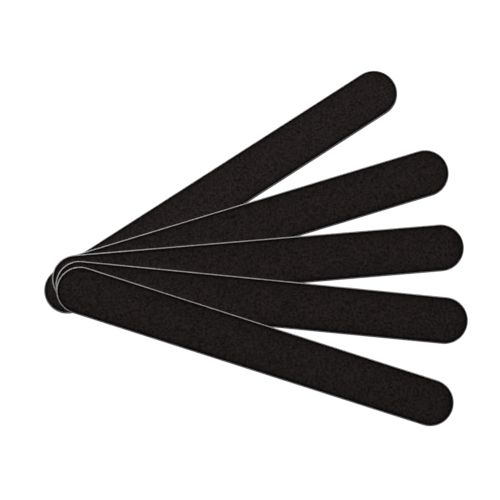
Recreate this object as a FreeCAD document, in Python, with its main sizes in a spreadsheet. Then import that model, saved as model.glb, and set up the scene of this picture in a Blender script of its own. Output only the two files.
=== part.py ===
"""Loose emery boards laid in a fan, each one a cushioned file of nine bonded layers.

Lengths are in millimetres. The origin is the centre of the bottom board's round tail, on its
underside, so the table is the plane z = 0. +X runs along the fan from the tails towards the
tips, and +Z is up.
"""
import FreeCAD
import Part
import Sketcher
import math
import os

# Driving dimensions. A heading is the way a board points, in degrees to the left of +X, and
# tail_x and tail_y are where the centre of its round tail lies over the table.
SIZES = {
    "board_length": 178.0,
    "board_width": 20.3,
    "core_thickness": 0.8,
    "foam_thickness": 0.75,
    "glue_thickness": 0.1,
    "paper_thickness": 0.2,
    "grit_thickness": 0.15,
    "face_setback": 0.45,  # the black faces end this far inside the core's outline
    "lay_gap": 0.05,  # room between a board and the edge that it leans on
    "heading_1": 33.0,
    "tail_x_1": 0.0,
    "tail_y_1": 0.0,
    "heading_2": 17.2,
    "tail_x_2": 3.65,
    "tail_y_2": 4.35,
    "heading_3": 5.2,
    "tail_x_3": 3.7,
    "tail_y_3": 4.2,
    "heading_4": -5.2,
    "tail_x_4": 5.35,
    "tail_y_4": 1.2,
    "heading_5": -17.35,
    "tail_x_5": 5.75,
    "tail_y_5": -1.7,
}
BOARDS = (1, 2, 3, 4, 5)  # from the bottom of the fan to its top

# The layers of one board, from its underside up. The last word of a name is its material.
LAYERS = (
    "lower_grit",
    "lower_paper",
    "lower_glue",
    "lower_foam",
    "core",
    "upper_foam",
    "upper_glue",
    "upper_paper",
    "upper_grit",
)
FULL_OUTLINE = "sizes.board_width / 2"
FACE_OUTLINE = "sizes.board_width / 2 - sizes.face_setback"
FOAM_TAPER = "-atan(sizes.face_setback / sizes.foam_thickness)"
STEEPEST_LEAN = 45.0  # degrees
HALVINGS = 60  # of the range of leans, until the tip meets the table
UP = FreeCAD.Vector(0, 0, 1)

doc = FreeCAD.newDocument("emery_boards")
sizes = doc.addObject("Spreadsheet::Sheet", "sizes")
for row, (alias, value) in enumerate(SIZES.items(), start=1):
    sizes.set(f"A{row}", alias)
    sizes.set(f"B{row}", str(value))
    sizes.setAlias(f"B{row}", alias)
doc.recompute()


def thickness_of(layer):
    """The sheet's name for a layer's thickness: both sheets of a kind share one."""
    return layer.split("_")[-1] + "_thickness"


tail_to_tip = sizes.board_length - sizes.board_width
face_radius = sizes.board_width / 2 - sizes.face_setback
board_thickness = sum(sizes.get(thickness_of(layer)) for layer in LAYERS)


def outline_sketch(body, height, radius):
    """A board's outline: two straight sides and a half circle at each end, at a height in the body."""
    sketch = body.newObject("Sketcher::SketchObject", body.Name + "_outline")
    plane = next(item for item in body.Origin.OriginFeatures if item.Role == "XY_Plane")
    sketch.AttachmentSupport = [(plane, "")]
    sketch.MapMode = "FlatFace"
    if height:
        sketch.setExpression(".AttachmentOffset.Base.z", height)

    tail, tip = FreeCAD.Vector(0, 0, 0), FreeCAD.Vector(tail_to_tip, 0, 0)
    right, left = FreeCAD.Vector(0, -face_radius, 0), FreeCAD.Vector(0, face_radius, 0)
    quarter = math.pi / 2
    right_side = sketch.addGeometry(Part.LineSegment(tail + right, tip + right))
    tip_end = sketch.addGeometry(Part.ArcOfCircle(Part.Circle(tip, UP, face_radius), -quarter, quarter))
    left_side = sketch.addGeometry(Part.LineSegment(tip + left, tail + left))
    tail_end = sketch.addGeometry(
        Part.ArcOfCircle(Part.Circle(tail, UP, face_radius), quarter, 3 * quarter)
    )
    start, end, centre = 1, 2, 3
    x_axis, origin = -1, (-1, 1)
    loop = (right_side, tip_end, left_side, tail_end)
    for before, after in zip(loop, loop[1:] + loop[:1]):
        sketch.addConstraint(Sketcher.Constraint("Tangent", before, end, after, start))
    sketch.addConstraint(Sketcher.Constraint("Horizontal", right_side))
    sketch.addConstraint(Sketcher.Constraint("Coincident", tail_end, centre, *origin))
    sketch.addConstraint(Sketcher.Constraint("PointOnObject", tip_end, centre, x_axis))
    round_end = sketch.addConstraint(Sketcher.Constraint("Radius", tail_end, face_radius))
    reach = sketch.addConstraint(
        Sketcher.Constraint("DistanceX", tail_end, centre, tip_end, centre, tail_to_tip)
    )
    sketch.setExpression(f"Constraints[{round_end}]", radius)
    sketch.setExpression(f"Constraints[{reach}]", "sizes.board_length - sizes.board_width")
    return sketch


def add_layer(board, index):
    """One layer of a board. Foam is as wide as the core beside it and narrows to the face."""
    layer = LAYERS[index]
    body = doc.addObject("PartDesign::Body", f"board_{board}_{layer}")
    body.Label = f"board_{board}_{layer}"
    on_core = layer.endswith(("core", "foam"))
    downward = layer == "lower_foam"
    below = LAYERS[: index + 1] if downward else LAYERS[:index]
    height = " + ".join("sizes." + thickness_of(item) for item in below)
    pad = body.newObject("PartDesign::Pad", body.Name + "_pad")
    pad.Profile = outline_sketch(body, height, FULL_OUTLINE if on_core else FACE_OUTLINE)
    pad.Reversed = downward
    pad.setExpression("Length", "sizes." + thickness_of(layer))
    if layer.endswith("foam"):
        pad.setExpression("TaperAngle", FOAM_TAPER)
    body.Tip = pad
    return body


def flat_placement(board):
    """A board that lies flat on the table."""
    tail = FreeCAD.Vector(sizes.get(f"tail_x_{board}"), sizes.get(f"tail_y_{board}"), 0)
    return FreeCAD.Placement(tail, FreeCAD.Rotation(UP, sizes.get(f"heading_{board}")))


def leaning_placement(board, below, lean):
    """A board whose underside holds the right-hand top edge of the board below, leaned about it."""
    edge = below.multVec(FreeCAD.Vector(0, -face_radius, board_thickness + sizes.lay_gap))
    edge_way = below.Rotation.multVec(FreeCAD.Vector(1, 0, 0))
    level_normal = UP - edge_way * UP.dot(edge_way)
    normal = FreeCAD.Rotation(edge_way, lean).multVec(level_normal).normalize()

    flat = flat_placement(board)
    leftward = flat.Rotation.multVec(FreeCAD.Vector(0, 1, 0))
    along = leftward.cross(normal).normalize()
    to_edge = edge - flat.Base
    tail = flat.Base + UP * (normal.dot(to_edge) / normal.z)
    return FreeCAD.Placement(tail, FreeCAD.Rotation(along, normal.cross(along), normal, "ZXY"))


def tip_height(placement):
    """Height over the table of the lowest point of a board's round tip."""
    normal = placement.Rotation.multVec(UP)
    tip = placement.multVec(FreeCAD.Vector(tail_to_tip, 0, 0))
    return tip.z - face_radius * math.hypot(normal.x, normal.y)


def lay_on(board, below):
    """Lean a board on the one below until its tip meets the table, which is how it comes to rest."""
    level, steep = 0.0, STEEPEST_LEAN
    for _ in range(HALVINGS):
        middle = (level + steep) / 2
        if tip_height(leaning_placement(board, below, middle)) > 0:
            level = middle
        else:
            steep = middle
    return leaning_placement(board, below, level)


placement = flat_placement(BOARDS[0])
bodies = []
for board in BOARDS:
    if board != BOARDS[0]:
        placement = lay_on(board, placement)
    for index in range(len(LAYERS)):
        body = add_layer(board, index)
        body.Placement = placement
        bodies.append(body)
    lean = math.degrees(placement.Rotation.multVec(UP).getAngle(UP))
    print(f"board {board}: tail {placement.Base.z:.2f} mm up, leans {lean:.2f} degrees")
doc.recompute()

for item in doc.Objects:
    if "Invalid" in item.State or "Error" in item.State:
        raise RuntimeError(f"{item.Label} did not build")
for body in bodies:
    if body.Shape.isNull() or not body.Shape.isValid():
        raise RuntimeError(f"{body.Label} has no valid shape")

os.makedirs("parts", exist_ok=True)
for body in bodies:
    body.Shape.exportStep(f"parts/{body.Label}.step")
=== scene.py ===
# %% [markdown]
# # Five emery boards in a fan
#
# An emery board is a thin bar with rounded ends and an abrasive face on both sides. These are the
# cushioned kind: a stiff white strip between two layers of foam, with black abrasive paper glued
# on top and underneath. The construction comes from the CAD model, so this lesson only dresses
# it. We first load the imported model. It is the frame that nothing here may move.

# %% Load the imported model
import math

import bpy
import numpy as np
from mathutils import Matrix, Vector, noise


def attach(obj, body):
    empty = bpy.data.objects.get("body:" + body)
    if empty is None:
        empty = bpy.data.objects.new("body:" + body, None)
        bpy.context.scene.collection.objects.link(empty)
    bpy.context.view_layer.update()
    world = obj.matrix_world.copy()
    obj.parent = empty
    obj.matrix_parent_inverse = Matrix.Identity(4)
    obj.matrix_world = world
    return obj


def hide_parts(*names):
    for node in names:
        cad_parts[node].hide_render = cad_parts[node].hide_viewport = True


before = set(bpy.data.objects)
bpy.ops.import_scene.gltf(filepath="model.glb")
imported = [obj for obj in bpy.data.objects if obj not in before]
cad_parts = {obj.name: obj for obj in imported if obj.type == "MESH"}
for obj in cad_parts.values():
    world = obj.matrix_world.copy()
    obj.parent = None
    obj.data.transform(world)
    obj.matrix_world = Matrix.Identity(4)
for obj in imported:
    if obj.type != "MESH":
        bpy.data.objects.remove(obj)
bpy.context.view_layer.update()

MM = 0.001  # Blender works in metres
BOARDS = (1, 2, 3, 4, 5)  # from the bottom of the fan to its top

# %% [markdown]
# ## How each board lies
#
# Every board but the lowest leans on the one below, so its layers aren't level. We could repeat
# the angles of the CAD model, but then two files would hold the same numbers. Instead we read the
# board's own axes from its core: the second moments of its surface are largest along the board
# and smallest across its thickness. A layer can then be shaped flat, in the board's own axes, and
# carried to its place by one matrix.

# %% Read the axes of the boards


def axes_of(board):
    """The board's own frame: x towards its tip, y to its left, z out of its upper face."""
    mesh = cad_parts[f"board_{board}_core"].data
    mesh.calc_loop_triangles()
    corners = np.array([[mesh.vertices[i].co for i in t.vertices] for t in mesh.loop_triangles])
    areas = np.array([t.area for t in mesh.loop_triangles])
    sums = corners.sum(axis=1)
    middle = areas @ sums / 3 / areas.sum()
    moments = np.einsum("t,tci,tcj->ij", areas, corners, corners)
    moments += np.einsum("t,ti,tj->ij", areas, sums, sums)
    spread = np.linalg.eigh(moments / 12 / areas.sum() - np.outer(middle, middle))[1]
    normal, along = Vector(spread[:, 0]), Vector(spread[:, 2])
    normal *= math.copysign(1, normal.z)
    along *= math.copysign(1, along.x)
    matrix = Matrix((along, normal.cross(along), normal)).transposed().to_4x4()
    return Matrix.Translation(middle) @ matrix


axes = {board: axes_of(board) for board in BOARDS}


def span(board, layer):
    """A layer's lowest and highest corner, in its board's own axes."""
    to_board = axes[board].inverted()
    points = [to_board @ v.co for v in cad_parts[f"board_{board}_{layer}"].data.vertices]
    return Vector(map(min, zip(*points))), Vector(map(max, zip(*points)))


for board in BOARDS:
    lean = math.degrees(axes[board].col[2].to_3d().angle((0, 0, 1)))
    size = (span(board, "core")[1] - span(board, "core")[0]) / MM
    extents = " x ".join(f"{extent:.2f}" for extent in size)
    print(f"board {board} leans {lean:.2f} degrees, core {extents} mm")

# %% [markdown]
# ## Colours and nodes
#
# Colours are written as the sRGB hex values that a picture editor shows, and Blender's shaders
# want linear light, so one function converts them. A second one adds a node to a tree, sets its
# properties, and fills or links its inputs. A third starts a new material. They are all that the
# materials below need.

# %% Helpers for materials


def colour(hex_code):
    """Linear red, green, blue and alpha from an sRGB hex value such as #1f1b1a."""
    shares = [int(hex_code[i : i + 2], 16) / 255 for i in (1, 3, 5)]
    linear = [s / 12.92 if s <= 0.04045 else ((s + 0.055) / 1.055) ** 2.4 for s in shares]
    return (*linear, 1.0)


def add(tree, kind, inputs=None, **settings):
    """Add a node. An input is given by name or number, as a value or as another node's output."""
    node = tree.nodes.new(kind)
    for name, value in settings.items():
        setattr(node, name, value)
    for socket, value in (inputs or {}).items():
        for source in value if isinstance(value, list) else [value]:
            if isinstance(source, bpy.types.NodeSocket):
                tree.links.new(source, node.inputs[socket])
            else:
                node.inputs[socket].default_value = source
    return node


def new_material(name):
    """An empty material, its node tree and its Principled shader."""
    material = bpy.data.materials.new(name)
    material.use_nodes = True
    return material, material.node_tree, material.node_tree.nodes["Principled BSDF"]


print("helpers ready")

# %% [markdown]
# ## Black abrasive
#
# The faces are silicon carbide grit in black phenolic resin, laid on paper while the resin is wet.
# The grains are dark, hard and broken, so each facet has its own small grey glint and the whole
# face looks like soot with a faint warm mottling. A bump map could fake the grains, but they
# would vanish from the edges and from the exported mesh, so they are real geometry further down.
# The shader gives them their tone, and a fine bump for the chipped surface of each grain. Each
# grain carries a random tone, and the resin between grains has tone 0. Painted shade makes the
# face lightest along its middle and darker towards its outline, as a slightly domed face is lit.
# It is darkest in a narrow rim, where the cutter has crushed the coat and it glints less.

# %% Make the abrasive
abrasive, tree, shader = new_material("silicon_carbide_in_black_resin")
MOTTLE = 1.1 * MM  # width of the patches where the resin lies thicker or thinner
TONE_SHARE = 0.4  # how much a grain's own tone counts beside the patches
# The two ends of the mottling: its value there, and its colour
DARK_RESIN, LIGHT_GRAIN = (0.32, "#0c0a0a"), (1.0, "#403938")
# The colour that the painted shade darkens the outline and rim towards
PAINTED_SHADE = "#020202"
place = add(tree, "ShaderNodeTexCoord")
patches = add(
    tree,
    "ShaderNodeTexNoise",
    {"Vector": place.outputs["Object"], "Scale": 1 / MOTTLE, "Detail": 3.0, "Roughness": 0.6},
)
tone = add(tree, "ShaderNodeAttribute", attribute_name="grain_tone")
uneven = add(
    tree,
    "ShaderNodeMath",
    {0: tone.outputs["Fac"], 1: TONE_SHARE, 2: patches.outputs["Fac"]},
    operation="MULTIPLY_ADD",
)
black = add(tree, "ShaderNodeValToRGB", {"Fac": uneven.outputs[0]})
for stop, (position, shade) in zip(black.color_ramp.elements, (DARK_RESIN, LIGHT_GRAIN)):
    stop.position, stop.color = position, colour(shade)
# Painted shade: the coat is darker towards its outline and darkest in a narrow rim
rim = add(tree, "ShaderNodeAttribute", attribute_name="rim")
painted_rim_shade = add(
    tree,
    "ShaderNodeMix",
    {"Factor": rim.outputs["Fac"], "A": black.outputs["Color"], "B": colour(PAINTED_SHADE)},
    data_type="RGBA",
)
tree.links.new(painted_rim_shade.outputs["Result"], shader.inputs["Base Color"])
print("abrasive:", abrasive.name)

# %% Chips and gloss of the abrasive
CHIP = 0.12 * MM  # width of the chips on a grain
CHIP_DEPTH = 0.01 * MM
NOISE_LOW, NOISE_HIGH = 0.3, 0.7  # nearly all of a noise texture lies between these
THIN_RESIN, THICK_RESIN = 0.78, 0.6  # roughness, which is least where the resin lies thick
chips = add(
    tree,
    "ShaderNodeTexNoise",
    {"Vector": place.outputs["Object"], "Scale": 1 / CHIP, "Detail": 2.0},
)
chipped = add(
    tree, "ShaderNodeBump", {"Height": chips.outputs["Fac"], "Distance": CHIP_DEPTH}
)
gloss = add(
    tree,
    "ShaderNodeMapRange",
    {
        "Value": patches.outputs["Fac"],
        "From Min": NOISE_LOW,
        "From Max": NOISE_HIGH,
        "To Min": THIN_RESIN,
        "To Max": THICK_RESIN,
    },
)
tree.links.new(gloss.outputs["Result"], shader.inputs["Roughness"])
tree.links.new(chipped.outputs["Normal"], shader.inputs["Normal"])
shader.inputs["Specular IOR Level"].default_value = 0.05  # sooty: it hardly mirrors anything
print("abrasive has", len(tree.nodes), "nodes")

# %% [markdown]
# ## Foam, core, paper and glue
#
# The foam is cross-linked polyethylene, cut through its cells, so its edge is matt and pitted.
# The core is sheared from polystyrene sheet, and the shear leaves fine marks across the edge.
# Both are white, but the photo shows their edges grey, so their colours here are mid greys. The
# paper is saturated with dark latex so that it survives washing, and the glue film is pale and a
# little glossy. On the finished board all four show only as thin lines at the edge, where foam,
# core and glue make the light border round each black face. Noise on the object's own coordinates
# gives each of them its grain without any picture: the same noise sets colour, gloss and a small
# bump, so that a pit is dark, dull and deep at once. Its colour is a random speckle, and its dark
# spots are also painted shade in the pits. A slower noise adds stretches with more dust.

# %% Make the four edge materials
EDGES = {
    # name: dark and light colour, grain in mm along x, y and z, relief in mm, roughness, specular
    # Chalky and pitted, with cells drawn coarser than real so that they show
    "cut_polyethylene_foam": ("#6a6969", "#a9a8a8", (0.35, 0.35, 0.35), 0.05, 0.9, 0.2),
    # Smoother and lighter, with marks that run through its thickness
    "sheared_polystyrene": ("#7a797a", "#a6a5a6", (0.5, 0.5, 6.0), 0.02, 0.55, 0.35),
    # A dark felted line
    "latex_paper": ("#1b1817", "#2a2624", (0.25, 0.25, 0.08), 0.02, 0.85, 0.2),
    # A pale line with a little shine
    "acrylic_glue_film": ("#8f8a86", "#a8a39e", (1.2, 1.2, 1.2), 0.02, 0.45, 0.4),
}
DUST = 7 * MM  # the edges are cleaner in some stretches and dustier in others
DUST_SHARE = 0.2
UNEVEN_GLOSS = 0.08
DARK_FROM, LIGHT_FROM = 0.35, 0.65  # of the noise
finishes = {}
for name, (dark, light, grain, relief, roughness, specular) in EDGES.items():
    finishes[name], tree, shader = new_material(name)
    place = add(tree, "ShaderNodeTexCoord")
    stretched = add(
        tree,
        "ShaderNodeMapping",
        {"Vector": place.outputs["Object"], "Scale": tuple(1 / (g * MM) for g in grain)},
    )
    speckle = add(
        tree,
        "ShaderNodeTexNoise",
        {"Vector": stretched.outputs["Vector"], "Scale": 1.0, "Detail": 3.0},
    )
    dust = add(
        tree,
        "ShaderNodeTexNoise",
        {"Vector": place.outputs["Object"], "Scale": 1 / DUST, "Detail": 1.0},
    )
    both = add(
        tree,
        "ShaderNodeMix",
        {"Factor": DUST_SHARE, "A": speckle.outputs["Fac"], "B": dust.outputs["Fac"]},
        data_type="FLOAT",
    )
    # The colour follows the speckle: a random tone, and painted shade where its low spots are the
    # pits of the bump
    shade = add(tree, "ShaderNodeValToRGB", {"Fac": both.outputs["Result"]})
    ends = ((DARK_FROM, dark), (LIGHT_FROM, light))
    for stop, (position, tint) in zip(shade.color_ramp.elements, ends):
        stop.position, stop.color = position, colour(tint)
    gloss = add(
        tree,
        "ShaderNodeMapRange",
        {
            "Value": speckle.outputs["Fac"],
            "From Min": NOISE_LOW,
            "From Max": NOISE_HIGH,
            "To Min": roughness + UNEVEN_GLOSS,
            "To Max": roughness - UNEVEN_GLOSS,
        },
    )
    pitted = add(
        tree, "ShaderNodeBump", {"Height": speckle.outputs["Fac"], "Distance": relief * MM}
    )
    tree.links.new(shade.outputs["Color"], shader.inputs["Base Color"])
    tree.links.new(gloss.outputs["Result"], shader.inputs["Roughness"])
    tree.links.new(pitted.outputs["Normal"], shader.inputs["Normal"])
    shader.inputs["Specular IOR Level"].default_value = specular
print("edge materials:", ", ".join(finishes))

# %% Give the core, paper and glue their materials
FINISH_OF = {
    "core": "sheared_polystyrene",
    "paper": "latex_paper",
    "glue": "acrylic_glue_film",
}
for name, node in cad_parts.items():
    layer = name.split("_")[-1]
    if layer in FINISH_OF:
        node.data.materials.clear()
        node.data.materials.append(finishes[FINISH_OF[layer]])
print("finished CAD layers:", sum(n.split("_")[-1] in FINISH_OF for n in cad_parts))

# %% [markdown]
# ## The outline of a board
#
# A board's outline is two straight sides and two half circles. Every ring of points that we need,
# on the foam and on the abrasive, is that outline at some distance from the middle line, so a
# column round the outline is stored as the point it swings from and its bearing. Rings of any
# radius then have matching columns, and joining them gives clean quads.

# %% Rings round a board


def columns_round(board, step):
    """Where each column swings from along the board, and its bearing, about a step apart."""
    corner = span(board, "core")[1]
    half_side, radius = corner.x - corner.y, corner.y
    side = np.linspace(-half_side, half_side, round(2 * half_side / step), endpoint=False)
    turn = np.linspace(0, math.pi, round(math.pi * radius / step), endpoint=False)
    level, quarter = np.ones_like, math.pi / 2
    swings = (side, half_side * level(turn), -side, -half_side * level(turn))
    bearings = (-quarter * level(side), turn - quarter, quarter * level(side), turn + quarter)
    return np.concatenate(swings), np.concatenate(bearings)


def ring(columns, radius, height):
    """The columns' points at a distance from the middle line and a height."""
    swings, bearings = columns
    x, y = swings + radius * np.cos(bearings), radius * np.sin(bearings)
    return np.column_stack((x, y, np.full(len(x), height)))


def closed_shell(name, rings):
    """A mesh through rings from the lowest up, closed by a flat face at each end."""
    count = len(rings[0])
    first = np.arange(count)
    after = np.roll(first, -1)
    faces = [tuple(first[::-1])]
    for level in range(len(rings) - 1):
        low, high = level * count, (level + 1) * count
        faces += list(zip(low + first, low + after, high + after, high + first))
    faces.append(tuple((len(rings) - 1) * count + first))
    mesh = bpy.data.meshes.new(name)
    mesh.from_pydata(np.concatenate(rings).tolist(), [], [[int(i) for i in f] for f in faces])
    return mesh


def finish_piece(mesh, board, layer):
    """Carry a mesh to its board, and let it stand for the CAD layer."""
    mesh.transform(axes[board])
    piece = bpy.data.objects.new(mesh.name, mesh)
    bpy.context.scene.collection.objects.link(piece)
    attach(piece, f"board_{board}")
    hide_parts(f"board_{board}_{layer}")
    return piece


print("one board has", len(columns_round(1, 0.2 * MM)[0]), "columns at 0.2 mm")

# %% [markdown]
# ## Foam layers
#
# When the cutter has passed, the foam springs back and its edge slopes from the core in to the
# black face, with the cut cells showing as small pits. A plain tapered block would be too clean,
# and a displacement modifier would need a dense cap as well, so we build the sloping edge from
# rings and move each point inwards: by a shallow hollow, and by the pit of the nearest foam cell.
# The first and last ring stay put, where the foam is glued to its neighbours.

# %% Build the foam layers
CELL = 0.55 * MM  # drawn coarser than the real cells of about 0.2 mm, so that they show
PIT_DEPTH = 0.05 * MM
HOLLOW_DEPTH = 0.04 * MM
FOAM_STEP = 0.2 * MM
FOAM_ROWS = 6
TUCK = 0.02 * MM  # the foam ends this far inside the edges of its neighbours
NEXT_BOARD = Vector((0, 0, 9))  # cells from one board to the next, so that no two are alike


def foam_rings(board, layer):
    """The rings of one foam layer, from its lower face to its upper one."""
    low, high = span(board, layer)
    columns = columns_round(board, FOAM_STEP)
    wide, narrow = (span(board, other)[1].y - TUCK for other in ("core", "upper_paper"))
    radii = (wide, narrow) if layer == "upper_foam" else (narrow, wide)
    rings = []
    for row in range(FOAM_ROWS + 1):
        share = row / FOAM_ROWS
        height = low.z + share * (high.z - low.z)
        radius = radii[0] + share * (radii[1] - radii[0])
        flat = ring(columns, radius, height)
        free = math.sin(share * math.pi)
        cells = [Vector(point) / CELL + board * NEXT_BOARD for point in flat]
        from_middle = np.array([noise.voronoi(cell)[0][0] for cell in cells])
        pits = PIT_DEPTH * np.clip(1 - from_middle, 0, 1) + HOLLOW_DEPTH
        rings.append(ring(columns, radius - free * pits, height))
    return rings


for board in BOARDS:
    for side in ("lower", "upper"):
        mesh = closed_shell(f"board_{board}_{side}_foam_layer", foam_rings(board, f"{side}_foam"))
        mesh.materials.append(finishes["cut_polyethylene_foam"])
        piece = finish_piece(mesh, board, f"{side}_foam")
print("a foam layer has", len(piece.data.polygons), "faces")

# %% [markdown]
# ## Abrasive coats
#
# Thousands of grains lie on each face. Placing them one by one in Python would work, but they
# only repeat a shape over a surface, which is what Geometry Nodes are for. The tree takes the face
# of the bed alone, because points on the back of so thin a bed would count as near neighbours. It
# scatters points that keep a distance from each other, as grains do that fall on wet resin, puts
# one of two broken shapes on each, turned and scaled at random, and stores its tone. Real grit
# of this grade is about 0.1 mm wide. It is drawn three times as coarse here, because the camera
# couldn't see it otherwise.

# %% Start the tree for a coat
coat = bpy.data.node_groups.new("Abrasive coat", "GeometryNodeTree")
INPUTS = {
    "Bed": "NodeSocketGeometry",
    "Grain spacing": "NodeSocketFloat",
    "Grain radius": "NodeSocketFloat",
    "Grain height": "NodeSocketFloat",
    "Seed": "NodeSocketInt",
    "Abrasive": "NodeSocketMaterial",
}
for name, kind in INPUTS.items():
    coat.interface.new_socket(name, in_out="INPUT", socket_type=kind)
coat.interface.new_socket("Coat", in_out="OUTPUT", socket_type="NodeSocketGeometry")
given = add(coat, "NodeGroupInput").outputs
seed = given["Seed"]
print("coat inputs:", ", ".join(INPUTS))

# %% Scatter points over the face
TRIES = 3.0  # points for each square of the spacing, before those too near to another one go
field = add(
    coat, "GeometryNodeInputNamedAttribute", {"Name": "grain_field"}, data_type="BOOLEAN"
)
face = add(
    coat,
    "GeometryNodeSeparateGeometry",
    {"Geometry": given["Bed"], "Selection": field.outputs["Attribute"]},
    domain="FACE",
)
square = add(coat, "ShaderNodeMath", {0: given["Grain spacing"], 1: -2.0}, operation="POWER")
tries = add(coat, "ShaderNodeMath", {0: square.outputs[0], 1: TRIES}, operation="MULTIPLY")
points = add(
    coat,
    "GeometryNodeDistributePointsOnFaces",
    {
        "Mesh": face.outputs["Selection"],
        "Distance Min": given["Grain spacing"],
        "Density Max": tries.outputs[0],
        "Seed": seed,
    },
    distribute_method="POISSON",
)
print("points:", points.distribute_method)

# %% Put a broken grain on each point
GRAIN_TILT = math.radians(8)
LEAST_TURN, MOST_TURN = (-GRAIN_TILT, -GRAIN_TILT, 0), (GRAIN_TILT, GRAIN_TILT, 2 * math.pi)
SMALLEST, LARGEST = (0.75, 0.55, 0.55), (1.25, 1.1, 1.0)  # of the given radius and height
DARKEST, LIGHTEST = 0.1, 1.0
shapes = []
for sides in (3, 4):
    grain = add(
        coat,
        "GeometryNodeMeshCone",
        {
            "Vertices": sides,
            "Radius Top": 0.0,
            "Radius Bottom": given["Grain radius"],
            "Depth": given["Grain height"],
        },
    )
    shapes.append(grain.outputs["Mesh"])
choice = add(coat, "GeometryNodeGeometryToInstance", {"Geometry": shapes})

turn = add(
    coat,
    "FunctionNodeRandomValue",
    {0: LEAST_TURN, 1: MOST_TURN, "Seed": seed},
    data_type="FLOAT_VECTOR",
)
turn = add(coat, "FunctionNodeEulerToRotation", {"Euler": turn.outputs[0]})
turn = add(
    coat,
    "FunctionNodeRotateRotation",
    {"Rotation": points.outputs["Rotation"], "Rotate By": turn.outputs[0]},
    rotation_space="LOCAL",
)
size = add(
    coat,
    "FunctionNodeRandomValue",
    {0: SMALLEST, 1: LARGEST, "Seed": seed},
    data_type="FLOAT_VECTOR",
)
pick = add(coat, "FunctionNodeRandomValue", {4: 0, 5: 1, "Seed": seed}, data_type="INT")
grains = add(
    coat,
    "GeometryNodeInstanceOnPoints",
    {
        "Points": points.outputs["Points"],
        "Instance": choice.outputs[0],
        "Pick Instance": True,
        "Instance Index": pick.outputs[2],
        "Rotation": turn.outputs[0],
        "Scale": size.outputs[0],
    },
)
print("grain shapes:", len(shapes))

# %% Store the tones, and join the grains to the bed
tone = add(
    coat, "FunctionNodeRandomValue", {2: DARKEST, 3: LIGHTEST, "Seed": seed}, data_type="FLOAT"
)
grains = add(
    coat,
    "GeometryNodeStoreNamedAttribute",
    {"Geometry": grains.outputs[0], "Name": "grain_tone", "Value": tone.outputs[1]},
    data_type="FLOAT",
    domain="INSTANCE",
)
both = add(coat, "GeometryNodeJoinGeometry", {"Geometry": [grains.outputs[0], given["Bed"]]})
real = add(coat, "GeometryNodeRealizeInstances", {"Geometry": both.outputs[0]})
flat = add(
    coat, "GeometryNodeSetShadeSmooth", {"Geometry": real.outputs[0], "Shade Smooth": False}
)
dressed = add(
    coat,
    "GeometryNodeSetMaterial",
    {"Geometry": flat.outputs[0], "Material": given["Abrasive"]},
)
add(coat, "NodeGroupOutput", {"Coat": dressed.outputs[0]})
print("coat tree:", len(coat.nodes), "nodes")

# %% [markdown]
# ## Lay the coats
#
# A coat is a thin bed of resin with the grains standing in it. The bed is lower than the CAD coat,
# so that the tips of the grains end at its surface and the boards still touch where the CAD model
# says. The grains keep clear of the outermost edge, which the cutter crushes. The bed has rings of
# faces near its outline, because the painted shade of the rim is stored on its points and has to
# fade over a short way. After the tree has run, the result is made a plain mesh, which needs no
# modifier and exports as it is.

# %% The bed of resin
BED_SHARE = 0.4  # of the coat's thickness
BED_STEP = 0.8 * MM
RIM_STEPS = [step * MM for step in (0.15, 0.4, 0.7, 1.0, 1.4, 1.9, 3.0, 4.5, 6.5, 8.5)]


def resin_bed(board, side):
    """The bed of a coat, with the flat face that takes the grains marked as grain_field."""
    low, high = span(board, f"{side}_grit")
    columns, radius = columns_round(board, BED_STEP), high.y
    depth = BED_SHARE * (high.z - low.z)
    if side == "upper":
        back, face = low.z, low.z + depth
    else:
        back, face = high.z, high.z - depth
    rings = [ring(columns, radius, back), ring(columns, radius, face)]
    rings += [ring(columns, radius - step, face) for step in RIM_STEPS]
    mesh = closed_shell(f"bed_{board}_{side}", rings if side == "upper" else rings[::-1])
    inner = sorted(range(len(mesh.polygons)), reverse=side == "upper")
    marks = np.zeros(len(mesh.polygons), bool)
    marks[inner[: 1 + (len(RIM_STEPS) - 1) * len(columns[0])]] = True
    mesh.attributes.new("grain_field", "BOOLEAN", "FACE").data.foreach_set("value", marks)
    return mesh


print("a bed has", len(RIM_STEPS), "rings inside its outline")

# %% Run the tree on a bed
GRAIN_SPACING = 0.36 * MM
GRAIN_RADIUS = 0.22 * MM
identifier = {
    item.name: item.identifier for item in coat.interface.items_tree if item.in_out == "INPUT"
}


def lay_coat(board, side):
    """Scatter grains over a bed, and return the coat as a plain mesh in the board's own axes."""
    low, high = span(board, f"{side}_grit")
    worker = bpy.data.objects.new("worker", resin_bed(board, side))
    bpy.context.scene.collection.objects.link(worker)
    modifier = worker.modifiers.new("coat", "NODES")
    modifier.node_group = coat
    settings = {
        "Grain spacing": GRAIN_SPACING,
        "Grain radius": GRAIN_RADIUS,
        "Grain height": (1 - BED_SHARE) * (high.z - low.z),
        "Seed": 2 * board + (side == "upper"),
        "Abrasive": abrasive,
    }
    for name, value in settings.items():
        modifier[identifier[name]] = value
    graph = bpy.context.evaluated_depsgraph_get()
    mesh = bpy.data.meshes.new_from_object(
        worker.evaluated_get(graph), preserve_all_data_layers=True, depsgraph=graph
    )
    worker.modifiers.remove(modifier)
    bpy.data.objects.remove(worker)
    mesh.name = f"board_{board}_{side}_abrasive_coat"
    return mesh


print("coat inputs by identifier:", len(identifier))

# %% Paint shade on the rim
PAINTED_RIM_WIDTH = 1.6 * MM  # how far in from the outline the painted shade of the rim reaches
RIM_SHADE = 0.95  # how much darker the painted shade makes the very edge
CROWN_SHADE = 0.25  # painted shade: how much darker the edge is than the middle, as a domed face is lit


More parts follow.
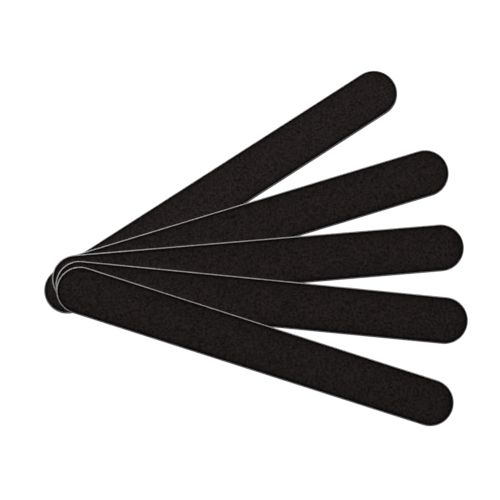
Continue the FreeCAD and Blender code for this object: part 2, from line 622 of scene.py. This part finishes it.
def paint_rim_shade(mesh, board):
    """Store how much darker each point is painted than the middle of the face, as painted shade,
    in an attribute.
    """
    points = np.empty(3 * len(mesh.vertices), np.float32)
    mesh.vertices.foreach_get("co", points)
    x, y, _ = points.reshape(-1, 3).T
    corner = span(board, "core")[1]
    beyond = np.clip(np.abs(x) - (corner.x - corner.y), 0, None)
    half_width = span(board, "upper_grit")[1].y
    inside = half_width - np.hypot(beyond, y)
    # Painted shade of a domed face, growing towards the outline, and a darker painted rim
    crown = np.clip(1 - inside / half_width, 0, 1) ** 2
    painted_rim_shade = np.clip(1 - inside / PAINTED_RIM_WIDTH, 0, 1)
    darker = (CROWN_SHADE * crown + RIM_SHADE * painted_rim_shade).astype(np.float32)
    mesh.attributes.new("rim", "FLOAT", "POINT").data.foreach_set("value", darker)


print("the rim is", PAINTED_RIM_WIDTH / MM, "mm wide")

# %% [markdown]
# ## A map for the export
#
# The exported model carries no shader nodes, so its colours are baked to pictures through a UV
# map. An automatic unwrap would cut a coat into tens of thousands of islands that are smaller than
# a pixel. A board is flat, so we can simply look at it from above: the grainy face fills one half
# of the picture, and the back and sides of the bed fill the other half.

# %% Lay a coat out flat
FACE_ROW, BACK_ROW = 0.25, 0.75  # the middle of each half
ROW_REACH = 0.24  # from the middle of a half nearly to its edge
SIDE_FLARE = 0.04  # how far the sides lean out on the map, so that they have some width there
LEAST_RISE = 0.1  # of a face's normal, to count as part of the grainy face


def map_for_bake(mesh, board, side):
    """Store where each corner of a coat's faces lies on its UV map."""
    faces, corners = len(mesh.polygons), len(mesh.loops)
    normals, counts = np.empty(3 * faces, np.float32), np.empty(faces, np.int32)
    vertex, points = np.empty(corners, np.int32), np.empty(3 * len(mesh.vertices), np.float32)
    tones = np.empty(len(mesh.vertices), np.float32)
    mesh.polygons.foreach_get("normal", normals)
    mesh.polygons.foreach_get("loop_total", counts)
    mesh.loops.foreach_get("vertex_index", vertex)
    mesh.vertices.foreach_get("co", points)
    mesh.attributes["grain_tone"].data.foreach_get("value", tones)

    low, high = span(board, f"{side}_grit")
    out, back = (1, low.z) if side == "upper" else (-1, high.z)
    x, y, z = points.reshape(-1, 3)[vertex].T
    height = out * (z - back) / (BED_SHARE * (high.z - low.z))
    rises = np.repeat(out * normals.reshape(-1, 3)[:, 2] > LEAST_RISE, counts)
    on_face = rises | (tones[vertex] > 0)
    wider = np.where(on_face, 1, (1 + SIDE_FLARE * height) / (1 + SIDE_FLARE))
    u = 0.5 + 0.5 * wider * x / high.x
    v = np.where(on_face, FACE_ROW, BACK_ROW) + ROW_REACH * wider * y / high.y
    layer = mesh.uv_layers.new(name="OFBake", do_init=False)
    layer.uv.foreach_set("vector", np.column_stack((u, v)).astype(np.float32).ravel())


print("map rows at", FACE_ROW, "and", BACK_ROW)

# %% Build the coats
for board in BOARDS:
    for side in ("lower", "upper"):
        mesh = lay_coat(board, side)
        paint_rim_shade(mesh, board)
        map_for_bake(mesh, board, side)
        piece = finish_piece(mesh, board, f"{side}_grit")
print("a coat has", len(piece.data.polygons), "faces")

# %% [markdown]
# ## Table, light and camera
#
# The boards were photographed on plain white with hardly a shadow. A sheet of white acrylic that
# is lit from below does that, so the floor glows. It is far wider than a real one, because a low
# view would see past its edge. One large soft light stands at the far left. It brightens the
# edges that face away from the camera and leaves the near edges grey. The camera looks almost
# straight down, from 8 degrees towards the near side, through a long lens.

# %% Table
table, tree, shader = new_material("back_lit_white_acrylic")
shader.inputs["Base Color"].default_value = colour("#606060")
shader.inputs["Roughness"].default_value = 0.6
shader.inputs["Specular IOR Level"].default_value = 0.1
shader.inputs["Emission Color"].default_value = colour("#fbf9ff")
shader.inputs["Emission Strength"].default_value = 1.07
HALF_TABLE = 12.0  # metres
BELOW_BOARDS = 0.02 * MM  # so that no face of a board lies in the table's own
signs = ((-1, -1), (1, -1), (1, 1), (-1, 1))
corners = [(x * HALF_TABLE, y * HALF_TABLE, 0) for x, y in signs]
mesh = bpy.data.meshes.new("table")
mesh.from_pydata(corners, [], [(0, 1, 2, 3)])
mesh.materials.append(table)
floor = bpy.data.objects.new("table", mesh)
floor.location.z = -BELOW_BOARDS
bpy.context.scene.collection.objects.link(floor)
print("table", 2 * HALF_TABLE, "m wide")

# %% Light
aim = Vector((0.0786, 0.01721, 0.004))  # the middle of the fan as the photo frames it
AMBIENT = 0.1  # light from all round, which keeps the shadows from going black
SOFTBOXES = {
    # name: place from the aim in metres, width and height in metres, power in watts, colour
    "far_softbox": ((-1.25, 2.35, 2.2), (3.6, 2.2), 158.0, "#fffbf6"),
}
for name, (place, extent, power, tint) in SOFTBOXES.items():
    lamp = bpy.data.lights.new(name, "AREA")
    lamp.shape = "RECTANGLE"
    lamp.size, lamp.size_y = extent
    lamp.energy = power
    lamp.color = colour(tint)[:3]
    box = bpy.data.objects.new(name, lamp)
    box.location = aim + Vector(place)
    box.rotation_euler = (-Vector(place)).to_track_quat("-Z", "Y").to_euler()
    bpy.context.scene.collection.objects.link(box)
world = bpy.context.scene.world or bpy.data.worlds.new("studio")
bpy.context.scene.world = world
world.use_nodes = True
background = world.node_tree.nodes["Background"]
background.inputs["Color"].default_value = colour("#ffffff")
background.inputs["Strength"].default_value = AMBIENT
bpy.context.scene.view_settings.view_transform = "Standard"
print("softboxes:", len(SOFTBOXES))

# %% Camera
DISTANCE = 2.0  # metres
OFF_VERTICAL = math.radians(8)
SENSOR, LENS = 36.0, 334.2  # millimetres
back = Vector((0, -math.sin(OFF_VERTICAL), math.cos(OFF_VERTICAL)))
camera = bpy.data.objects.new("camera", bpy.data.cameras.new("camera"))
camera.data.sensor_width, camera.data.lens = SENSOR, LENS
camera.data.clip_end = 10.0
camera.location = aim + DISTANCE * back
camera.rotation_euler = (-back).to_track_quat("-Z", "Y").to_euler()
bpy.context.scene.collection.objects.link(camera)
bpy.context.scene.camera = camera
print("camera at", [round(c, 3) for c in camera.location])

# %% Finish
print("scene built")
